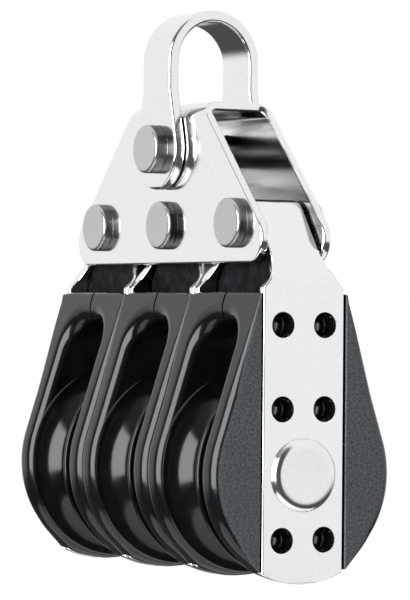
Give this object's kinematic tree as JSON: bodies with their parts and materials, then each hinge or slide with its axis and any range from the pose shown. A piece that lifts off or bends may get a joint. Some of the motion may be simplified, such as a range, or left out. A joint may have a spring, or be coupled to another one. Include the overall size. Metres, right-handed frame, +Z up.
{
  "type": "triple sheave block",
  "caption": "Rope block: ball-bearing sheaves side by side on a shared axle between moulded cheeks, held by bent steel straps in a plate header that swings on a strip shackle.",
  "frame": {"origin": "centre of the shackle's half-round crown, the point the block hangs from", "axes": "+Z up along the hanging block towards the crown, X along the sheave axle, Y along the header's rivets and the shackle's pin, with -Y the side of the pin's head"},
  "size_m": [0.0598, 0.0292, 0.0816],
  "materials": {
    "shackle_steel": "polished stainless strip",
    "pin_steel": "turned stainless, satin face",
    "ring_wire": "drawn stainless wire",
    "header_steel": "polished stainless sheet",
    "rivet_steel": "satin stainless rivet heads",
    "strap_steel": "polished stainless strip",
    "cheek_plastic": "fine-textured dark grey glass-filled moulding",
    "sheave_plastic": "smooth black acetal",
    "core_aluminium": "turned and anodised",
    "ball_plastic": "off-white acetal balls"
  },
  "bodies": {
    "shackle_body": {"shackle": "shackle_steel", "shackle_pin": "pin_steel", "pin_ring": "ring_wire"},
    "block_frame": {"header": "header_steel", "header_rivets": "rivet_steel", "axle": "rivet_steel", "unit_strap_1": "strap_steel", "unit_strap_2": "strap_steel", "unit_strap_3": "strap_steel", "cheek_left_1": "cheek_plastic", "cheek_left_2": "cheek_plastic", "cheek_left_3": "cheek_plastic", "cheek_right_1": "cheek_plastic", "cheek_right_2": "cheek_plastic", "cheek_right_3": "cheek_plastic", "bearing_core_1": "core_aluminium", "bearing_core_2": "core_aluminium", "bearing_core_3": "core_aluminium"},
    "sheave_body_1": {"sheave_1": "sheave_plastic"},
    "ball_set_1": {"bearing_balls_1": "ball_plastic"},
    "sheave_body_2": {"sheave_2": "sheave_plastic"},
    "ball_set_2": {"bearing_balls_2": "ball_plastic"},
    "sheave_body_3": {"sheave_3": "sheave_plastic"},
    "ball_set_3": {"bearing_balls_3": "ball_plastic"}
  },
  "joints": [
    {"name": "block_swing", "type": "hinge", "parent": "shackle_body", "child": "block_frame", "pos_m": [0, 0, -0.0127], "axis": [0, 1, 0], "range_deg": [-60, 60]},
    {"name": "sheave_1_spin", "type": "hinge", "parent": "block_frame", "child": "sheave_body_1", "pos_m": [-0.0194, 0, -0.0588], "axis": [1, 0, 0], "continuous": true},
    {"name": "balls_1_orbit", "type": "hinge", "parent": "block_frame", "child": "ball_set_1", "pos_m": [-0.0194, 0, -0.0588], "axis": [1, 0, 0], "continuous": true},
    {"name": "sheave_2_spin", "type": "hinge", "parent": "block_frame", "child": "sheave_body_2", "pos_m": [0, 0, -0.0588], "axis": [1, 0, 0], "continuous": true},
    {"name": "balls_2_orbit", "type": "hinge", "parent": "block_frame", "child": "ball_set_2", "pos_m": [0, 0, -0.0588], "axis": [1, 0, 0], "continuous": true},
    {"name": "sheave_3_spin", "type": "hinge", "parent": "block_frame", "child": "sheave_body_3", "pos_m": [0.0194, 0, -0.0588], "axis": [1, 0, 0], "continuous": true},
    {"name": "balls_3_orbit", "type": "hinge", "parent": "block_frame", "child": "ball_set_3", "pos_m": [0.0194, 0, -0.0588], "axis": [1, 0, 0], "continuous": true}
  ],
  "couplings": [
    {"joint": "balls_1_orbit", "follows": "sheave_1_spin", "ratio": 0.61429},
    {"joint": "balls_2_orbit", "follows": "sheave_2_spin", "ratio": 0.61429},
    {"joint": "balls_3_orbit", "follows": "sheave_3_spin", "ratio": 0.61429}
  ]
}
